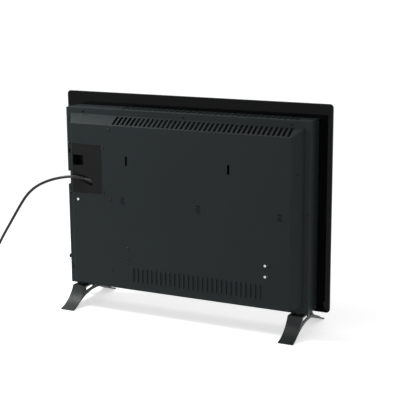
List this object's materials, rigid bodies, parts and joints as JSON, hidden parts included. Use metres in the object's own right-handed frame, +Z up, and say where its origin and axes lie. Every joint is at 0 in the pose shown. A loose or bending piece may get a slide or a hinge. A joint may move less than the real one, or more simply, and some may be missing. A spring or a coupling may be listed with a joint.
{
  "type": "convector heater",
  "caption": "Free-standing convector heater: dark glass front, grey sheet-metal back with slots and louvres, two flared feet, rocker switch in a side housing and a mains cord.",
  "frame": {"origin": "on the floor, midway between the front and rear toes and midway along the glass", "axes": "+X along the heater towards the control housing, +Y towards the rear cover, +Z up"},
  "size_m": [1.0719, 0.207, 0.5305],
  "materials": {
    "glass_black": "polished, printed black on its back",
    "silicone_black": "matt cured bead",
    "sheet_grey": "fine-textured powder coat",
    "housing_black": "fine spark-eroded grain",
    "switch_black": "satin moulding",
    "rocker_black": "polished moulding",
    "cord_black": "smooth satin jacket",
    "plug_black": "fine moulded grain",
    "nickel": "bright nickel plate",
    "foot_grey": "satin paint over a moulding",
    "screw_dark": "dark passivated steel",
    "nylon_black": "matt moulding",
    "nylon_white": "smooth moulding",
    "galvanised": "galvanised sheet",
    "aluminium": "extruded, matt",
    "element_steel": "heat-tinted sheath",
    "ceramic_white": "unglazed",
    "board_green": "solder resist",
    "relay_black": "moulded case",
    "winding_yellow": "tape over the winding",
    "foil_blue": "dipped case",
    "block_grey": "moulding",
    "display_face": "dark window",
    "bimetal_case": "plated cap",
    "lead_white": "woven glass-fibre sleeve",
    "grommet_red": "moulded silicone"
  },
  "bodies": {
    "body": {"bevel_screw": "screw_dark", "board_screws": "screw_dark", "board_standoffs": "nylon_black", "casing": "sheet_grey", "control_housing": "housing_black", "control_partition": "galvanised", "cord_coil": "cord_black", "cord_gland": "housing_black", "cord_tie": "nylon_black", "cover_screws": "screw_dark", "cutout_terminals": "nickel", "display_board": "board_green", "display_holder": "nylon_black", "display_module": "display_face", "element_bracket_left": "galvanised", "element_bracket_right": "galvanised", "element_core": "element_steel", "element_fins": "aluminium", "element_insulators": "ceramic_white", "element_leads": "lead_white", "element_screws": "screw_dark", "element_terminals": "nickel", "filter_capacitor": "foil_blue", "flange_screws": "screw_dark", "foot_left": "foot_grey", "foot_right": "foot_grey", "foot_screws": "screw_dark", "glass_adhesive": "silicone_black", "glass_carrier": "sheet_grey", "glass_panel": "glass_black", "heat_shield": "sheet_grey", "housing_screws": "screw_dark", "nylon_rivets": "nylon_white", "partition_grommet": "grommet_red", "plug_body": "plug_black", "plug_earth_clips": "nickel", "plug_pins": "nickel", "power_board": "board_green", "power_cord": "cord_black", "rear_cover": "sheet_grey", "relays": "relay_black", "room_sensor": "switch_black", "sensor_cap": "housing_black", "side_screws": "screw_dark", "strain_relief": "cord_black", "switch_body": "switch_black", "switch_terminals": "nickel", "terminal_block": "block_grey", "thermal_cutout": "bimetal_case", "tilt_pin": "element_steel", "tilt_switch_body": "nylon_black", "transformer": "winding_yellow"},
    "rocker": {"switch_rocker": "rocker_black"},
    "pendulum": {"tilt_pendulum": "element_steel"}
  },
  "joints": [
    {"name": "rocker_tip", "type": "hinge", "parent": "body", "child": "rocker", "pos_m": [0.2676, 0.0395, 0.37385], "axis": [1, 0, 0], "range_deg": [0, 16]},
    {"name": "pendulum_swing", "type": "hinge", "parent": "body", "child": "pendulum", "pos_m": [0.235, 0.014, 0.0845], "axis": [1, 0, 0], "range_deg": [-25, 25]}
  ]
}
